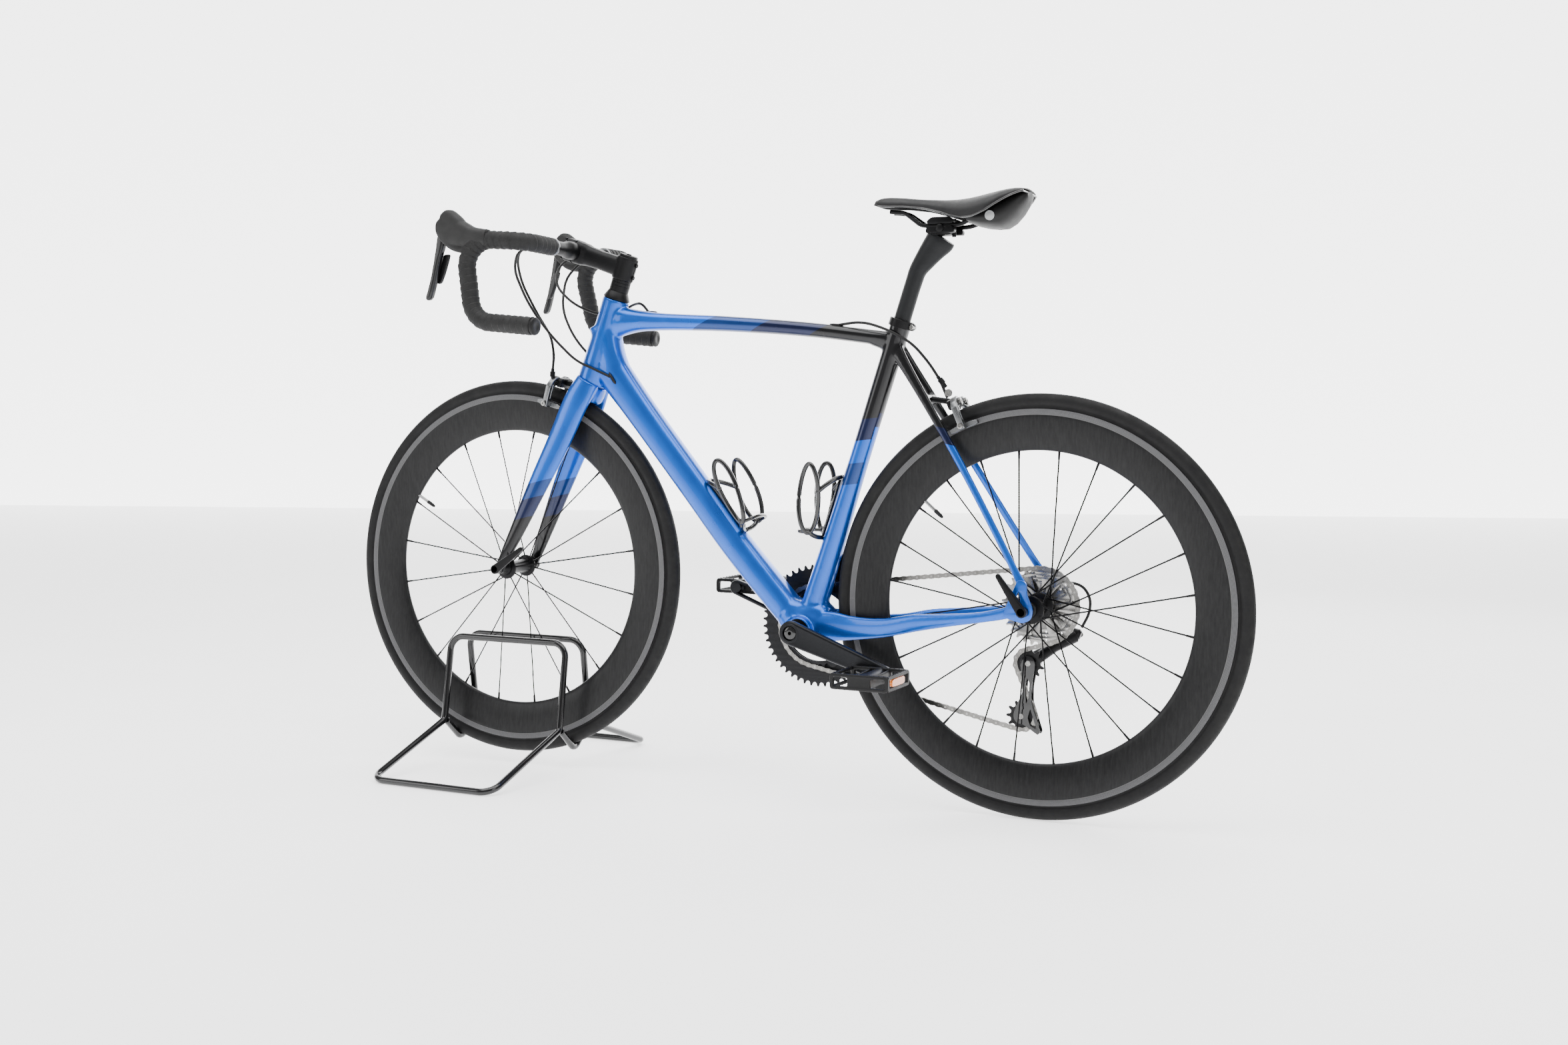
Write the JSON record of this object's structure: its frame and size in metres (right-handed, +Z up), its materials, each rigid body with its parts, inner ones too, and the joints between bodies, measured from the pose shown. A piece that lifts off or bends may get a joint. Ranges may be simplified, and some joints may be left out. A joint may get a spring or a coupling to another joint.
{
  "type": "bicycle on stand",
  "caption": "Road bicycle with deep rims, drop bar and saddle, its front wheel held in a bent-tube floor stand.",
  "frame": {"origin": "on the floor, below the middle of the wheelbase, in the bicycle's middle plane", "axes": "+Z up, -X to the front of the bicycle, +Y to its right (drive) side"},
  "size_m": [1.6432, 0.528, 0.9904],
  "materials": {
    "stand_paint": "gloss black",
    "frame_blue": "metallic blue fading to black",
    "rubber": "matt",
    "tyre": "matt",
    "carbon": "matt carbon",
    "black_alloy": "satin black",
    "grey_alloy": "satin dark grey",
    "steel": "bright",
    "black_steel": "black",
    "saddle_cover": "matt",
    "tape": "ribbed",
    "gloss_black": "gloss",
    "plastic": "satin"
  },
  "bodies": {
    "stand": {"stand_side_left": "stand_paint", "stand_side_right": "stand_paint", "stand_cradles": "stand_paint"},
    "steering": {"fork": "frame_blue", "headset_spacers": "black_alloy", "stem": "black_alloy", "stem_faceplate": "black_alloy", "stem_bolts": "steel", "handlebar": "black_alloy", "bar_tape": "tape", "bar_end_plugs": "gloss_black", "brake_hoods": "rubber", "front_caliper_body": "black_alloy", "front_brake_cable": "rubber"},
    "front_wheel": {"front_tyre": "tyre", "front_rim": "carbon", "front_spokes": "black_steel", "front_hub": "black_alloy"},
    "front_skewer": {"front_skewer": "black_alloy"},
    "lever_left": {"brake_lever_left": "carbon"},
    "lever_right": {"brake_lever_right": "carbon"},
    "paddle_left": {"shift_paddle_left": "plastic"},
    "paddle_right": {"shift_paddle_right": "plastic"},
    "front_arm_left": {"front_brake_arm_left": "black_alloy"},
    "front_arm_right": {"front_brake_arm_right": "black_alloy"},
    "frame": {"head_tube": "frame_blue", "top_tube": "frame_blue", "down_tube": "frame_blue", "seat_tube": "frame_blue", "bottom_bracket_shell": "frame_blue", "bottom_bracket_cups": "black_alloy", "chainstays": "frame_blue", "seatstays": "frame_blue", "seat_clamp": "black_alloy", "bottle_cages": "gloss_black", "rear_caliper_body": "grey_alloy", "front_derailleur": "black_alloy", "rear_derailleur": "black_alloy", "chain": "steel", "control_cables": "rubber", "frame_cables": "rubber"},
    "rear_arm_left": {"rear_brake_arm_left": "grey_alloy"},
    "rear_arm_right": {"rear_brake_arm_right": "grey_alloy"},
    "rear_wheel": {"rear_tyre": "tyre", "rear_rim": "carbon", "rear_spokes": "black_steel", "rear_hub": "black_alloy"},
    "rear_skewer": {"rear_skewer": "black_alloy"},
    "cassette": {"cassette": "steel"},
    "crank": {"crank_arm_left": "grey_alloy", "crank_arm_right": "grey_alloy", "chainrings": "black_alloy"},
    "pedal_left": {"pedal_left": "plastic"},
    "pedal_right": {"pedal_right": "plastic"},
    "guide_pulley": {"guide_pulley": "plastic"},
    "tension_pulley": {"tension_pulley": "plastic"},
    "seat": {"seatpost": "carbon", "saddle_clamp": "black_alloy", "saddle_rails": "black_steel", "saddle": "saddle_cover"}
  },
  "joints": [
    {"name": "stand_lift", "type": "slide", "parent": "stand", "child": "steering", "axis": [0, 0, 1], "range_m": [0, 0.3]},
    {"name": "steer", "type": "hinge", "parent": "steering", "child": "frame", "pos_m": [-0.32716, 0, 0.687], "axis": [0.3173, 0, 0.9483], "range_deg": [-45, 45], "deforming": ["control_cables"]},
    {"name": "front_wheel_spin", "type": "hinge", "parent": "steering", "child": "front_wheel", "pos_m": [-0.48565, 0, 0.3583], "axis": [0, 1, 0], "continuous": true},
    {"name": "front_skewer_turn", "type": "hinge", "parent": "steering", "child": "front_skewer", "pos_m": [-0.48565, 0, 0.3583], "axis": [0, 1, 0], "continuous": true},
    {"name": "lever_left_pull", "type": "hinge", "parent": "steering", "child": "lever_left", "pos_m": [-0.51079, -0.182, 0.93958], "axis": [0, -1, 0], "range_deg": [0, 20], "stiffness_Nm_per_rad": 0.6, "springref_deg": -17.19},
    {"name": "lever_right_pull", "type": "hinge", "parent": "steering", "child": "lever_right", "pos_m": [-0.51079, 0.182, 0.93958], "axis": [0, -1, 0], "range_deg": [0, 20], "stiffness_Nm_per_rad": 0.6, "springref_deg": -17.19},
    {"name": "paddle_left_push", "type": "hinge", "parent": "lever_left", "child": "paddle_left", "pos_m": [-0.51679, -0.1752, 0.90558], "axis": [0.2909, 0, 0.9567], "range_deg": [0, 12], "stiffness_Nm_per_rad": 0.05, "springref_deg": -11.46},
    {"name": "paddle_right_push", "type": "hinge", "parent": "lever_right", "child": "paddle_right", "pos_m": [-0.51679, 0.1752, 0.90558], "axis": [-0.2909, 0, -0.9567], "range_deg": [0, 12], "stiffness_Nm_per_rad": 0.05, "springref_deg": -11.46},
    {"name": "front_arm_left_close", "type": "hinge", "parent": "steering", "child": "front_arm_left", "pos_m": [-0.39175, -0.015, 0.69235], "axis": [0.9627, 0, -0.2706], "range_deg": [0, 2]},
    {"name": "front_arm_right_close", "type": "hinge", "parent": "steering", "child": "front_arm_right", "pos_m": [-0.39175, 0.015, 0.69235], "axis": [-0.9627, 0, 0.2706], "range_deg": [0, 2]},
    {"name": "rear_arm_left_close", "type": "hinge", "parent": "frame", "child": "rear_arm_left", "pos_m": [0.35342, -0.015, 0.65682], "axis": [0.9245, 0, 0.3811], "range_deg": [0, 2]},
    {"name": "rear_arm_right_close", "type": "hinge", "parent": "frame", "child": "rear_arm_right", "pos_m": [0.35342, 0.015, 0.65682], "axis": [-0.9245, 0, -0.3811], "range_deg": [0, 2]},
    {"name": "rear_wheel_spin", "type": "hinge", "parent": "frame", "child": "rear_wheel", "pos_m": [0.48565, 0, 0.336], "axis": [0, 1, 0], "continuous": true},
    {"name": "rear_skewer_turn", "type": "hinge", "parent": "frame", "child": "rear_skewer", "pos_m": [0.48565, 0, 0.336], "axis": [0, 1, 0], "continuous": true},
    {"name": "crank_turn", "type": "hinge", "parent": "frame", "child": "crank", "pos_m": [0.093, 0, 0.2795], "axis": [0, 1, 0], "continuous": true},
    {"name": "cassette_turn", "type": "hinge", "parent": "frame", "child": "cassette", "pos_m": [0.48565, 0, 0.336], "axis": [0, 1, 0], "continuous": true},
    {"name": "guide_pulley_turn", "type": "hinge", "parent": "frame", "child": "guide_pulley", "pos_m": [0.4688, 0.022, 0.2442], "axis": [0, 1, 0], "continuous": true},
    {"name": "tension_pulley_turn", "type": "hinge", "parent": "frame", "child": "tension_pulley", "pos_m": [0.4587, 0.022, 0.1589], "axis": [0, 1, 0], "continuous": true},
    {"name": "pedal_left_turn", "type": "hinge", "parent": "crank", "child": "pedal_left", "pos_m": [0.2562, 0, 0.22362], "axis": [0, 1, 0], "continuous": true},
    {"name": "pedal_right_turn", "type": "hinge", "parent": "crank", "child": "pedal_right", "pos_m": [-0.0702, 0, 0.33538], "axis": [0, 1, 0], "continuous": true},
    {"name": "seat_height", "type": "slide", "parent": "frame", "child": "seat", "axis": [0.3029, 0, 0.953], "range_m": [-0.04, 0.05]}
  ],
  "couplings": [
    {"joint": "front_arm_left_close", "follows": "lever_left_pull", "ratio": 0.1},
    {"joint": "front_arm_right_close", "follows": "lever_left_pull", "ratio": 0.1},
    {"joint": "rear_arm_left_close", "follows": "lever_right_pull", "ratio": 0.1},
    {"joint": "rear_arm_right_close", "follows": "lever_right_pull", "ratio": 0.1},
    {"joint": "cassette_turn", "follows": "crank_turn", "ratio": 1.1333},
    {"joint": "guide_pulley_turn", "follows": "crank_turn", "ratio": -3.0909},
    {"joint": "tension_pulley_turn", "follows": "crank_turn", "ratio": 3.0909}
  ]
}
